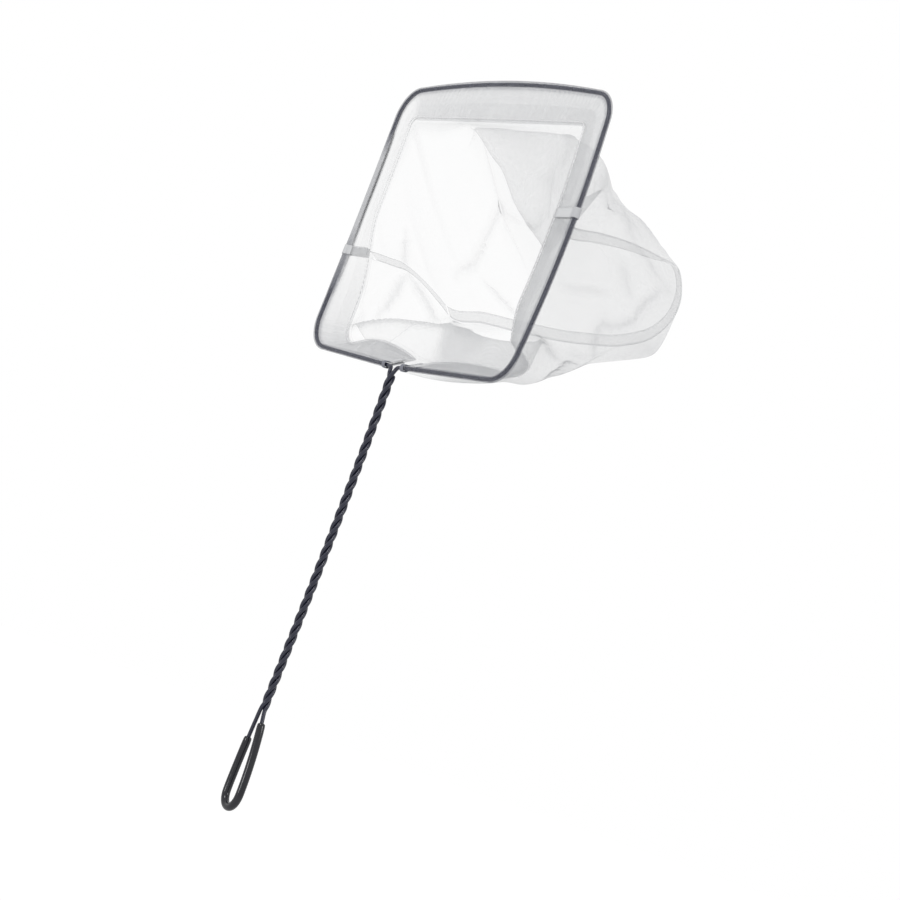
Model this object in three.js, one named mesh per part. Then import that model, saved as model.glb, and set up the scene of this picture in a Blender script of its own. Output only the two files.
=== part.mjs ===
import * as THREE from 'three';

// A hand-held fish net: a hoop and twisted handle bent from one coated wire, with a fabric bag.
// Millimetres. X runs across the hoop, Y from its front to its back, where the bag hangs, and
// Z from the grip loop up to the hoop. The origin is the middle of the grip loop's eye.

// Wire
const wireDiameter = 2.5;
const strandClearance = 0.6;
const wireSides = 8;
const stepsPerTurn = 10;

// Hoop, measured between the wire's centre lines
const hoopWidth = 254;
const hoopHeight = 190;
const hoopCornerRadius = 21;
const hoopTopBow = 5;
const hoopRightBow = 5;
const hoopLeftBow = -1.4;
const hoopBottomDip = 3.5;
const rootOffset = 5.6;

// Twisted handle and its grip loop
const handleLength = 236;
const handleLean = 2.6;
const handleBow = 2.2;
const twistTurns = 8 + 7 / 12;
const rootBend = 6;
const loopLength = 65;
const eyeHalfWidth = 8.7;
const eyeHalfHeight = 10;
const eyeOffset = 2.4;
const gripDiameter = 5.4;
const gripBoreClearance = 0.3;
const gripSides = 10;
const gripEnds = { cutEnd: 2, farEnd: 4 };
const limbShape = { spread: 0.4, leave: 0.18, arrive: 0.42 };

// Fabric: the hem is a doubled strip that wraps the wire and holds the bag's edge
const fabricThickness = 0.5;
const fabricGap = 0.3;
const hemDepth = 18;
const hemCornerRadius = 8;
const bottomHemTilt = 62;
const hemTuck = 10;
const hemOverrun = 1.6;
const leftSeamHeight = 73.6;
const rightSeamHeight = 114.6;

// Bag, measured from the handle's root: across, back from the hoop, and up
const leftCorner = new THREE.Vector3(-105, 86, 61);
const rightCorner = new THREE.Vector3(130, 89, 116);
const bottomSeamRoute = [
  new THREE.Vector3(-70, 94, 61),
  new THREE.Vector3(-20, 101, 60),
  new THREE.Vector3(30, 107, 61),
  new THREE.Vector3(70, 113, 66),
  new THREE.Vector3(98, 114, 75),
  new THREE.Vector3(117, 110, 90),
  new THREE.Vector3(127, 101, 104),
];
const leftKink = new THREE.Vector3(-110, 44, 77);

// The bag's main folds, measured the same way. Each is a row across its panel: depth is where it
// comes between the hem at 0 and the seam at 1, and its route gives [share of the panel's width,
// across, back, up]. Beside its route the row lies a part of the way from the hem, with its sag.
const foldLead = { start: 0.12, end: 0.05 };
const foldEase = 0.45;
const upperFolds = [
  {
    depth: 0.22, lies: 0.16, sag: 5, route: [
      [0.46, -27, 6, 169], [0.50, -17, 10, 162], [0.54, -5, 14, 153], [0.58, 6, 18, 146], [0.62, 15, 21, 137],
      [0.66, 24, 23, 128], [0.71, 45, 25, 114], [0.78, 70, 25, 102], [0.85, 88, 22, 94], [0.9, 103, 16, 100],
    ],
  },
  {
    depth: 0.44, lies: 0.34, sag: 10, route: [
      [0.46, -27, 11, 170], [0.49, -8, 13, 172], [0.52, 14, 17, 173], [0.56, 38, 20, 174], [0.60, 57, 22, 173.5],
      [0.66, 79, 24, 169.5], [0.72, 97, 25, 163], [0.78, 109, 26, 155], [0.84, 116, 27, 145], [0.9, 117, 25, 139],
    ],
  },
  {
    depth: 0.74, lies: 0.66, sag: 11, route: [
      [0.46, -20, 50, 122], [0.54, 14, 58, 125], [0.62, 50, 62, 124], [0.70, 90, 62, 124],
      [0.78, 120, 60, 131], [0.84, 123, 51, 131], [0.9, 124, 38, 128],
    ],
  },
];
const lowerFolds = [
  {
    depth: 0.16, lies: 0.12, sag: 0, route: [
      [0.16, -108, 21, 27], [0.20, -94, 21.5, 31], [0.24, -73, 22, 34.5], [0.33, -38, 24, 37], [0.42, -1.5, 25, 38],
      [0.48, 19, 26, 37.6], [0.55, 47, 27, 36], [0.62, 71, 28, 36], [0.71, 105, 30, 39.8],
    ],
  },
  {
    depth: 0.36, lies: 0.36, sag: 4, route: [
      [0.20, -88, 30, 9], [0.30, -50, 28, 4], [0.37, -33, 28, 3], [0.44, -6, 30, 2.5], [0.50, 19, 33, 4],
      [0.57, 52, 36, 8], [0.62, 68, 39, 12], [0.68, 95, 38, 16], [0.72, 104, 43, 21], [0.77, 114, 54, 29], [0.82, 119, 60, 40],
    ],
  },
  {
    depth: 0.7, lies: 0.66, sag: 6, route: [
      [0.20, -100, 58, 42], [0.30, -60, 62, 34], [0.40, -20, 66, 34], [0.50, 25, 72, 38],
      [0.60, 75, 84, 46], [0.66, 106, 96, 53], [0.70, 117, 96, 55], [0.76, 122, 84, 58], [0.82, 125, 76, 68],
    ],
  },
];
const panelRows = 11;
const lipSteps = 4;
const panelEndGap = 4;
const nearestToEnd = 1.5;
const seamWidth = 7;
const seamThickness = 0.9;

// Small fabric and thread pieces
const tabWidth = 6.5;
const tabReach = 9;
const tackWidth = 3;
const tackReach = 13;
const threadDiameter = 0.5;
const stitchInset = 1.6;

// Places that follow from the sizes above
const wireRadius = wireDiameter / 2;
const rootZ = handleLength + loopLength - eyeHalfHeight * 2;
const root = new THREE.Vector3(-handleLean - eyeOffset, 0, rootZ);
const strandCentre = (wireDiameter + strandClearance) / Math.sqrt(3);
const casingBore = wireRadius + fabricGap;
const casingOuter = casingBore + fabricThickness;
const lipInside = fabricThickness / 2 + fabricGap;
const lipOutside = lipInside + fabricThickness;
const panelLine = hemDepth + hemOverrun;
const seamHalfGap = (fabricThickness + seamThickness) / 2 + fabricGap;

// Materials
const finish = (colour, roughness, name, metalness = 0) =>
  new THREE.MeshStandardMaterial({ color: colour, roughness, metalness, name });
const coating = finish(0x20222d, 0.3, 'black_coating');
const sleeve = finish(0x15161c, 0.18, 'glossy_sleeve');
const hemCloth = finish(0xd6d8dd, 0.8, 'hem_cloth');
const meshCloth = finish(0xeef0f2, 0.75, 'mesh_cloth');
const seamCloth = finish(0xdadce0, 0.8, 'seam_cloth');
const thread = finish(0xe9e9ea, 0.6, 'thread');

// Geometry helpers

function solid(points, faces) {
  const geometry = new THREE.BufferGeometry();
  geometry.setAttribute('position', new THREE.Float32BufferAttribute(points.flatMap((p) => p.toArray()), 3));
  geometry.setIndex(faces.flat());
  if (signedVolume(points, faces) < 0) {
    geometry.setIndex(faces.map(([a, b, c]) => [a, c, b]).flat());
  }
  geometry.computeVertexNormals();
  return geometry;
}

function signedVolume(points, faces) {
  return faces.reduce((sum, [a, b, c]) => {
    const across = new THREE.Vector3().crossVectors(points[b], points[c]);
    return sum + points[a].dot(across) / 6;
  }, 0);
}

// A closed skin over rings of equal count, capped at both ends by the outline's own triangles
function skin(rings, outline) {
  const count = rings[0].length;
  const points = rings.flat();
  const faces = [];
  for (let i = 0; i < rings.length - 1; i += 1) {
    for (let j = 0; j < count; j += 1) {
      const k = (j + 1) % count;
      faces.push([i * count + j, i * count + k, (i + 1) * count + k]);
      faces.push([i * count + j, (i + 1) * count + k, (i + 1) * count + j]);
    }
  }
  const last = (rings.length - 1) * count;
  const turn = THREE.ShapeUtils.isClockWise(outline) ? -1 : 1;
  THREE.ShapeUtils.triangulateShape(outline, []).forEach((triangle) => {
    const [a, b, c] = triangleTurn(outline, triangle) === turn ? triangle : [...triangle].reverse();
    faces.push([a, c, b], [a + last, b + last, c + last]);
  });
  return solid(points, faces);
}

function triangleTurn(outline, [a, b, c]) {
  const u = outline[b].clone().sub(outline[a]);
  const v = outline[c].clone().sub(outline[a]);
  return Math.sign(u.x * v.y - u.y * v.x);
}

// Directions across a path that turn as little as they can from step to step
function frames(path) {
  const tangents = path.map((p, i) => {
    const before = path[Math.max(i - 1, 0)];
    const after = path[Math.min(i + 1, path.length - 1)];
    return new THREE.Vector3().subVectors(after, before).normalize();
  });
  const first = new THREE.Vector3().crossVectors(tangents[0], new THREE.Vector3(0.31, 1, 0.17)).normalize();
  const sides = [first];
  for (let i = 1; i < path.length; i += 1) {
    const turn = new THREE.Quaternion().setFromUnitVectors(tangents[i - 1], tangents[i]);
    const side = sides[i - 1].clone().applyQuaternion(turn);
    sides.push(side.addScaledVector(tangents[i], -side.dot(tangents[i])).normalize());
  }
  return path.map((p, i) => ({
    centre: p,
    side: sides[i],
    up: new THREE.Vector3().crossVectors(tangents[i], sides[i]),
  }));
}

function circle(radius, sides) {
  return Array.from({ length: sides }, (_, i) => {
    const angle = (i / sides) * 2 * Math.PI;
    return new THREE.Vector2(radius * Math.cos(angle), radius * Math.sin(angle));
  });
}

function ringsAlong(path, outline) {
  return frames(path).map(({ centre, side, up }) =>
    outline.map((q) => centre.clone().addScaledVector(side, q.x).addScaledVector(up, q.y)));
}

function roundRod(path, radius, sides) {
  const outline = circle(radius, sides);
  return skin(ringsAlong(path, outline), outline);
}

function sleeveTube(path, outer, bore, sides) {
  const outside = ringsAlong(path, circle(outer, sides));
  const inside = ringsAlong(path, circle(bore, sides));
  const points = [...outside.flat(), ...inside.flat()];
  const shift = path.length * sides;
  const faces = [];
  for (let j = 0; j < sides; j += 1) {
    const k = (j + 1) % sides;
    for (let i = 0; i < path.length - 1; i += 1) {
      const [a, b, c, d] = [i * sides + j, i * sides + k, (i + 1) * sides + k, (i + 1) * sides + j];
      faces.push([a, b, c], [a, c, d]);
      faces.push([a + shift, c + shift, b + shift], [a + shift, d + shift, c + shift]);
    }
    const end = (path.length - 1) * sides;
    faces.push([j, j + shift, k + shift], [j, k + shift, k]);
    faces.push([end + j, end + k + shift, end + j + shift], [end + j, end + k, end + k + shift]);
  }
  return solid(points, faces);
}

// A cloth of one thickness, from a grid of points on its middle surface
function clothSlab(grid, thickness) {
  const rows = grid.length;
  const columns = grid[0].length;
  const at = (i, j) => grid[Math.min(Math.max(i, 0), rows - 1)][Math.min(Math.max(j, 0), columns - 1)];
  const normal = (i, j) => {
    const along = new THREE.Vector3().subVectors(at(i, j + 1), at(i, j - 1));
    const down = new THREE.Vector3().subVectors(at(i + 1, j), at(i - 1, j));
    return new THREE.Vector3().crossVectors(along, down).normalize();
  };
  const points = [];
  [0.5, -0.5].forEach((share) => {
    for (let i = 0; i < rows; i += 1) {
      for (let j = 0; j < columns; j += 1) {
        points.push(at(i, j).clone().addScaledVector(normal(i, j), share * thickness));
      }
    }
  });
  const shift = rows * columns;
  const faces = [];
  for (let i = 0; i < rows - 1; i += 1) {
    for (let j = 0; j < columns - 1; j += 1) {
      const [a, b, c, d] = [i * columns + j, i * columns + j + 1, (i + 1) * columns + j + 1, (i + 1) * columns + j];
      faces.push([a, b, c], [a, c, d]);
      faces.push([a + shift, c + shift, b + shift], [a + shift, d + shift, c + shift]);
    }
  }
  const rim = [];
  for (let j = 0; j < columns - 1; j += 1) rim.push([j, j + 1]);
  for (let i = 0; i < rows - 1; i += 1) rim.push([(i + 1) * columns - 1, (i + 2) * columns - 1]);
  for (let j = columns - 1; j > 0; j -= 1) rim.push([(rows - 1) * columns + j, (rows - 1) * columns + j - 1]);
  for (let i = rows - 1; i > 0; i -= 1) rim.push([i * columns, (i - 1) * columns]);
  rim.forEach(([a, b]) => faces.push([b, a, a + shift], [b, a + shift, b + shift]));
  return solid(points, faces);
}

const steps = (from, to, count) =>
  Array.from({ length: count + 1 }, (_, i) => from + ((to - from) * i) / count);

function bezier(a, b, c, d, count) {
  return new THREE.CubicBezierCurve3(a, b, c, d).getPoints(count);
}

// The hoop's outline. A place runs from 0 at the handle's root, left along the bottom, up the
// left side, over the top, down the right side and back to the root at 9. An inset is how far
// inside the wire's centre line a point lies, and back is how far behind the hoop's plane. Along
// the bottom the hem has tipped back under the bag's weight, and turns level past the corners.
const [leftSidePlace, rightCornerPlace, endPlace] = [2, 7, 9];
const tiltEases = { from: 1.95, to: 2.55 };

function hemTilt(place) {
  const fromBottom = Math.min(place, endPlace - place);
  const share = THREE.MathUtils.smoothstep(fromBottom, tiltEases.from, tiltEases.to);
  return THREE.MathUtils.degToRad(bottomHemTilt) * (1 - share);
}

function hoopPoint(place, across = 0, behind = 0) {
  const tilt = hemTilt(place);
  const inset = across * Math.cos(tilt) - behind * Math.sin(tilt);
  const back = across * Math.sin(tilt) + behind * Math.cos(tilt);
  const radius = hoopCornerRadius + (hemCornerRadius - hoopCornerRadius) * (inset / hemDepth);
  const left = rootOffset - hoopWidth / 2 + inset;
  const right = rootOffset + hoopWidth / 2 - inset;
  const bottom = hoopBottomDip + inset;
  const top = hoopBottomDip + hoopHeight - inset;
  const run = Math.min(Math.floor(place), endPlace - 1);
  const s = place - run;
  const bow = 4 * s * (1 - s);
  const arc = (x, z, from) => {
    const angle = from - (s * Math.PI) / 2;
    return [x + radius * Math.cos(angle), z + radius * Math.sin(angle)];
  };
  const line = (x0, z0, x1, z1) => [x0 + (x1 - x0) * s, z0 + (z1 - z0) * s];
  const shapes = [
    () => line(-rootBend, inset, left + radius, bottom),
    () => arc(left + radius, bottom + radius, -Math.PI / 2),
    () => line(left - hoopLeftBow * bow, bottom + radius, left - hoopLeftBow * bow, top - radius),
    () => arc(left + radius, top - radius, Math.PI),
    () => line(left + radius, top + hoopTopBow * bow, right - radius, top + hoopTopBow * bow),
    () => arc(right - radius, top - radius, Math.PI / 2),
    () => line(right + hoopRightBow * bow, top - radius, right + hoopRightBow * bow, bottom + radius),
    () => arc(right - radius, bottom + radius, 0),
    () => line(right - radius, bottom, rootBend, inset),
  ];
  const [x, z] = shapes[run]();
  return new THREE.Vector3(root.x + x, back, root.z + z);
}

const sideRun = hoopHeight - 2 * hoopCornerRadius;
const leftSeamPlace = leftSidePlace + (leftSeamHeight - hoopBottomDip - hoopCornerRadius) / sideRun;
const rightSeamPlace = rightCornerPlace - (rightSeamHeight - hoopBottomDip - hoopCornerRadius) / sideRun;

// Places where every sweep round the hoop has a section: close together round the corners and
// where the hem turns level, and further apart along the sides
const [cornerSteps, sideSteps, turnSteps, leastStep] = [6, 5, 12, 0.02];
const apart = (kept, place) =>
  (kept.length && place - kept[kept.length - 1] < leastStep ? kept : [...kept, place]);
const sections = [
  ...Array.from({ length: endPlace }, (_, run) => steps(run, run + 1, run % 2 === 1 ? cornerSteps : sideSteps)),
  steps(tiltEases.from, tiltEases.to, turnSteps),
  steps(endPlace - tiltEases.to, endPlace - tiltEases.from, turnSteps),
].flat().sort((a, b) => a - b).reduce(apart, []);

function placesBetween(from, to) {
  return [from, ...sections.filter((place) => place > from + leastStep && place < to - leastStep), to];
}

// Frame wire

const fromRoot = (x, y, z) => new THREE.Vector3(root.x + x, y, root.z + z);
const twistTop = -rootBend;
const twistBottom = -handleLength;
const strandAngles = { left: (7 / 6) * Math.PI, right: (-1 / 6) * Math.PI, back: Math.PI / 2 };

// The handle leans and bows a little to the right of the line square to the hoop
function strandPoint(phase, z) {
  const s = (z - twistTop) / (twistBottom - twistTop);
  const axis = handleLean * s + handleBow * 4 * s * (1 - s);
  const angle = phase - s * twistTurns * 2 * Math.PI;
  return fromRoot(axis + strandCentre * Math.cos(angle), strandCentre * Math.sin(angle), z);
}

function strand(phase) {
  return steps(twistTop, twistBottom, Math.round(twistTurns * stepsPerTurn)).map((z) => strandPoint(phase, z));
}

function direction(from, to) {
  return new THREE.Vector3().subVectors(to, from).normalize();
}

// A smooth bend from one path's last point to the next path's first
function bend(before, after, reach, count) {
  const [a, b] = [before[before.length - 1], after[0]];
  const leave = direction(before[before.length - 2], a);
  const arrive = direction(b, after[1]);
  return bezier(a, a.clone().addScaledVector(leave, reach), b.clone().addScaledVector(arrive, -reach), b, count)
    .slice(1, -1);
}

function loopPath() {
  const widest = twistBottom - loopLength + eyeHalfHeight;
  const neck = { right: strandPoint(strandAngles.left, twistBottom), left: strandPoint(strandAngles.back, twistBottom) };
  const limb = (start, side) => {
    const end = new THREE.Vector3(side * eyeHalfWidth, 0, root.z + widest);
    const drop = start.z - end.z;
    const spread = end.x - start.x;
    const leave = new THREE.Vector3(start.x + limbShape.spread * spread, start.y / 2, start.z - limbShape.leave * drop);
    return bezier(start, leave, end.clone().setZ(end.z + limbShape.arrive * drop), end, 9);
  };
  const bottom = steps(0, -Math.PI, 10).map((angle) =>
    new THREE.Vector3(eyeHalfWidth * Math.cos(angle), 0, root.z + widest + eyeHalfHeight * Math.sin(angle)));
  return [...limb(neck.right, 1), ...bottom.slice(1, -1), ...limb(neck.left, -1).reverse()];
}

function framePath() {
  const rightStrand = strand(strandAngles.right).reverse();
  const leftStrand = strand(strandAngles.left);
  const backStrand = strand(strandAngles.back).reverse();
  const hoop = placesBetween(0, endPlace).reverse().map((place) => hoopPoint(place));
  return [
    ...rightStrand,
    ...bend(rightStrand, hoop, rootBend / 2, 5),
    ...hoop,
    ...bend(hoop, leftStrand, rootBend / 2, 5),
    ...leftStrand,
    ...loopPath().slice(1, -1),
    ...backStrand,
  ];
}

const wirePath = framePath();
const frameWire = roundRod(wirePath, wireRadius, wireSides);

// The least gap between stretches of the wire that lie beside each other
function leastGap(path, skip) {
  let least = Infinity;
  const segment = new THREE.Line3();
  const near = new THREE.Vector3();
  for (let i = 0; i < path.length; i += 1) {
    for (let j = 0; j < path.length - 1; j += 1) {
      if (Math.abs(i - j) > skip) {
        segment.set(path[j], path[j + 1]).closestPointToPoint(path[i], true, near);
        least = Math.min(least, near.distanceTo(path[i]) - wireDiameter);
      }
    }
  }
  return least;
}
console.log(`least gap between the wire's strands: ${leastGap(wirePath, 8).toFixed(2)} mm`);

// Grip sleeve, pushed over the loop before the handle was twisted
const sleevePath = loopPath().slice(gripEnds.cutEnd, -gripEnds.farEnd);
const gripSleeve = sleeveTube(sleevePath, gripDiameter / 2, wireRadius + gripBoreClearance, gripSides);

// Hem: a strip wrapped round the wire, with two lips that hold the bag's edge between them

function wrapProfile(bore, lip, reach, arcSteps) {
  const arcPoints = (radius, half) => {
    const start = Math.asin(half / radius);
    return steps(start, 2 * Math.PI - start, arcSteps).map((angle) =>
      new THREE.Vector2(radius * Math.cos(angle), radius * Math.sin(angle)));
  };
  const lipPoints = (from, half) => steps(from, reach, lipSteps).slice(1).map((x) => new THREE.Vector2(x, half));
  const face = (radius, half) => {
    const arc = arcPoints(radius, half);
    return [...lipPoints(arc[0].x, half).reverse(), ...arc, ...lipPoints(arc[0].x, -half)];
  };
  return [...face(bore + fabricThickness, lip + fabricThickness), ...face(bore, lip).reverse()];
}

function alongHoop(places, profile) {
  return skin(places.map((place) => profile.map((q) => hoopPoint(place, q.x, q.y))), profile);
}

const tackShare = (tackWidth / 2 + fabricGap) / (hoopWidth / 2 - hoopCornerRadius);
const tabShare = tabWidth / 2 / sideRun;
const hemBreak = fabricGap / 2 / sideRun;
const casingProfile = wrapProfile(casingBore, lipInside, hemDepth, 6);
const casingRoot = 2 * tackShare;

const casings = {
  hem_lower_left: placesBetween(casingRoot, leftSeamPlace - hemBreak),
  hem_upper: placesBetween(leftSeamPlace + hemBreak, rightSeamPlace - hemBreak),
  hem_lower_right: placesBetween(rightSeamPlace + hemBreak, endPlace - casingRoot),
};

// Tabs and tacks are wrapped over the hem, so their bore clears its outside
const overBore = casingOuter + fabricGap;
const overLip = lipOutside + fabricGap;

function overWrap(from, to, reach) {
  return alongHoop(steps(from, to, 1), wrapProfile(overBore, overLip, reach, 6));
}

// Stitching that closes the hem: one line of thread on its front, along the lips' edge
function stitching(places) {
  const depth = hemDepth - stitchInset;
  const front = -(lipOutside + fabricGap);
  const profile = [
    new THREE.Vector2(depth, front),
    new THREE.Vector2(depth, front - threadDiameter),
    new THREE.Vector2(depth - threadDiameter, front - threadDiameter),
    new THREE.Vector2(depth - threadDiameter, front),
  ];
  return alongHoop(places, profile);
}

// Bag: two panels that meet at one long seam, from the left tab round the bag to the right tab

const hemLinePoint = (place) => hoopPoint(place, panelLine);
const bagSeam = new THREE.CatmullRomCurve3([
  hemLinePoint(leftSeamPlace),
  ...[leftKink, leftCorner, ...bottomSeamRoute, rightCorner].map((v) => fromRoot(v.x, v.y, v.z)),
  hemLinePoint(rightSeamPlace),
], false, 'centripetal');

function hemEdge(places) {
  const points = places.map(hemLinePoint);
  const lengths = [0];
  for (let j = 1; j < places.length; j += 1) lengths.push(lengths[j - 1] + points[j].distanceTo(points[j - 1]));
  const total = lengths[lengths.length - 1];
  const shares = lengths.map((length) => length / total);
  const curve = new THREE.CatmullRomCurve3(points, false, 'centripetal');
  return { places, points, shares, total, at: (u) => curve.getPointAt(u) };
}

const upperHem = hemEdge(placesBetween(leftSeamPlace, rightSeamPlace));
const lowerHem = hemEdge([
  ...placesBetween(0, leftSeamPlace).reverse(),
  ...placesBetween(rightSeamPlace, endPlace).reverse(),
]);

// A smooth curve through points, one at each knot, read at one place. A low ease turns sharply at them
function through(knots, points, at, ease = 1) {
  const last = knots.length - 1;
  const run = (i) => points[i + 1].clone().sub(points[i]).divideScalar(knots[i + 1] - knots[i]);
  const slope = (i) => {
    if (i === 0 || i === last) return run(i === 0 ? 0 : last - 1);
    return run(i - 1).lerp(run(i), (knots[i] - knots[i - 1]) / (knots[i + 1] - knots[i - 1]));
  };
  const i = Math.min(Math.max(knots.filter((knot) => knot <= at).length - 1, 0), last - 1);
  const width = knots[i + 1] - knots[i];
  const t = (at - knots[i]) / width;
  return points[i].clone().multiplyScalar((1 + 2 * t) * (1 - t) ** 2)
    .addScaledVector(slope(i), t * (1 - t) ** 2 * width * ease)
    .addScaledVector(points[i + 1], t ** 2 * (3 - 2 * t))
    .addScaledVector(slope(i + 1), t ** 2 * (t - 1) * width * ease);
}

// A fold's point at a share of the panel's width
function foldPoint({ lies, sag, route }, hemPoint, seamPoint, u) {
  const plain = hemPoint.clone().lerp(seamPoint, lies);
  plain.z -= sag * Math.sin(Math.PI * u);
  const shares = route.map(([share]) => share);
  const [first, last] = [shares[0], shares[shares.length - 1]];
  const laid = through(shares, route.map(([, x, y, z]) => fromRoot(x, y, z)), THREE.MathUtils.clamp(u, first, last));
  const start = THREE.MathUtils.smoothstep(u, first - foldLead.start, first);
  return plain.lerp(laid, start * (1 - THREE.MathUtils.smoothstep(u, last, last + foldLead.end)));
}

// Where a panel hangs between its hem and the seam: v runs from 0 at the hem to 1 at the seam
function hanging(folds, hemPoint, seamPoint, u, v) {
  const knots = [0, ...folds.map(({ depth }) => depth), 1];
  const rows = [hemPoint, ...folds.map((fold) => foldPoint(fold, hemPoint, seamPoint, u)), seamPoint];
  return through(knots, rows, v, foldEase);
}

// At a share of the seam's length: its point, its run, and the ways into and across the bag
function seamFrame(u) {
  const point = bagSeam.getPointAt(u);
  const along = bagSeam.getTangentAt(u);
  const square = (hem, folds) => {
    const way = hanging(folds, hem.at(u), point, u, 1 - 1 / panelRows).sub(point);
    return way.addScaledVector(along, -way.dot(along)).normalize();
  };
  const [toUpper, toLower] = [square(upperHem, upperFolds), square(lowerHem, lowerFolds)];
  const upward = toUpper.sub(toLower).normalize();
  return { point, along, upward, inward: new THREE.Vector3().crossVectors(along, upward) };
}

// The sections that both panels and the sewn strip share, so that they stay side by side
const endShare = panelEndGap / lowerHem.total;
const insideEnds = (u) => Math.min(u, 1 - u) > nearestToEnd * endShare;
const seamShares = [endShare, ...lowerHem.shares.filter(insideEnds), 1 - endShare];
const seamFrames = seamShares.map(seamFrame);

// The section before a share of the seam's length, and how far it lies towards the next one
function between(shares, u) {
  const i = Math.min(shares.filter((share) => share <= u).length, shares.length - 1) - 1;
  return { i, t: (u - shares[i]) / (shares[i + 1] - shares[i]) };
}

function placeAt(hem, u) {
  const { i, t } = between(hem.shares, u);
  return THREE.MathUtils.lerp(hem.places[i], hem.places[i + 1], t);
}

// One panel: rows from the hem's inside, past its edge, back to the seam. Beside the seam it keeps
// to its own side of the sewn strip.
function panelGrid(hem, folds, side) {
  const places = seamShares.map((u) => placeAt(hem, u));
  const tuck = steps(hemDepth - hemTuck, panelLine, lipSteps).slice(0, -1);
  const hung = steps(0, 1, panelRows);
  return [
    ...tuck.map((inset) => places.map((place) => hoopPoint(place, inset))),
    ...hung.map((v) => seamFrames.map(({ point, upward }, j) => {
      const edge = point.clone().addScaledVector(upward, side * seamHalfGap);
      return hanging(folds, hemLinePoint(places[j]), edge, seamShares[j], v);
    })),
  ];
}

// The seam: both panels' edges, sewn together and standing into the bag as a narrow strip
function seamStrip(from, to) {
  const inside = seamShares.filter((u) => u > from && u < to);
  const rings = [from, ...inside, to].map((u) => {
    const { i, t } = between(seamShares, u);
    const [point, along, inward] = ['point', 'along', 'inward'].map((key) =>
      seamFrames[i][key].clone().lerp(seamFrames[i + 1][key], t));
    const tip = point.clone().addScaledVector(inward, seamWidth);
    const across = new THREE.Vector3().crossVectors(along, inward).setLength(seamThickness / 2);
    return [point.clone().add(across), tip.clone().add(across), tip.clone().sub(across), point.clone().sub(across)];
  });
  return skin(rings, [[0, 1], [1, 1], [1, 0], [0, 0]].map(([x, y]) => new THREE.Vector2(x, y)));
}

const nearestShare = (corner) => {
  const target = fromRoot(corner.x, corner.y, corner.z);
  return steps(endShare, 1 - endShare, 400).reduce((best, u) =>
    (bagSeam.getPointAt(u).distanceTo(target) < bagSeam.getPointAt(best).distanceTo(target) ? u : best));
};
const leftShare = nearestShare(leftCorner);
const rightShare = nearestShare(rightCorner);
const seamBreak = fabricGap / bagSeam.getLength();

// The net, piece by piece

const net = new THREE.Group();

function add(name, geometry, material) {
  const mesh = new THREE.Mesh(geometry, material);
  mesh.name = name;
  net.add(mesh);
}

add('frame_wire', frameWire, coating);
add('grip_sleeve', gripSleeve, sleeve);
Object.entries(casings).forEach(([name, places]) => {
  add(name, alongHoop(places, casingProfile), hemCloth);
  add(name.replace('hem', 'hem_stitching'), stitching(places), thread);
});
add('left_tab', overWrap(leftSeamPlace - tabShare, leftSeamPlace + tabShare, tabReach), seamCloth);
add('right_tab', overWrap(rightSeamPlace - tabShare, rightSeamPlace + tabShare, tabReach), seamCloth);
add('root_tack_left', overWrap(casingRoot, casingRoot + 2 * tackShare, tackReach), seamCloth);
add('root_tack_right', overWrap(endPlace - casingRoot - 2 * tackShare, endPlace - casingRoot, tackReach), seamCloth);
add('bag_upper_panel', clothSlab(panelGrid(upperHem, upperFolds, 1), fabricThickness), meshCloth);
add('bag_lower_panel', clothSlab(panelGrid(lowerHem, lowerFolds, -1), fabricThickness), meshCloth);
add('left_seam', seamStrip(endShare, leftShare - seamBreak), seamCloth);
add('bottom_seam', seamStrip(leftShare + seamBreak, rightShare - seamBreak), seamCloth);
add('right_seam', seamStrip(rightShare + seamBreak, 1 - endShare), seamCloth);

export default net;
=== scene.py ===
# %% [markdown]
# # A hand-held fish net
# One black coated wire makes the hoop, the twisted handle and the grip loop. A bag of sheer white
# mesh is sewn round the hoop. The wire is plain, so most of the lesson is about cloth: a hem that
# wraps the wire, two panels that hang with real folds, and a see-through weave.

# %% Load the frame
import math

import bpy
import numpy as np
from mathutils import Matrix, Vector, noise


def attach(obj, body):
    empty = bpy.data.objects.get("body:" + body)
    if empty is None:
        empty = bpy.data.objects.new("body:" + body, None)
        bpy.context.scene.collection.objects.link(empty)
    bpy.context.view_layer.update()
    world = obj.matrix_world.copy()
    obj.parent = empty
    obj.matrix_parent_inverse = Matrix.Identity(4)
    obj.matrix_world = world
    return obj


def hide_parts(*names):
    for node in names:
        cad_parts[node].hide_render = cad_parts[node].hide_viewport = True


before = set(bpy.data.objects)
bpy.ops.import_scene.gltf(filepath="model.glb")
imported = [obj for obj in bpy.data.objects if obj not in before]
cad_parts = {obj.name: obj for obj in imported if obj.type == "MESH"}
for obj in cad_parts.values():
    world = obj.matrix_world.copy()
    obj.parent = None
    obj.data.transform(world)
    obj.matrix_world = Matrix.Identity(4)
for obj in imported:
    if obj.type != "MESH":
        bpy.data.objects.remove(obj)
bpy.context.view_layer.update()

MM = 0.001
print("CAD nodes:", len(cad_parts))


def deselect():
    bpy.ops.object.select_all(action="DESELECT")


def work_on(piece):
    deselect()
    piece.select_set(True)
    bpy.context.view_layer.objects.active = piece


deselect()

# %% [markdown]
# ## The camera
# The net is seen from its right and from slightly below, and it leans in the picture, so the camera
# is turned round the net, tipped up a little and rolled. A long lens keeps the hoop's sides straight.

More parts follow.
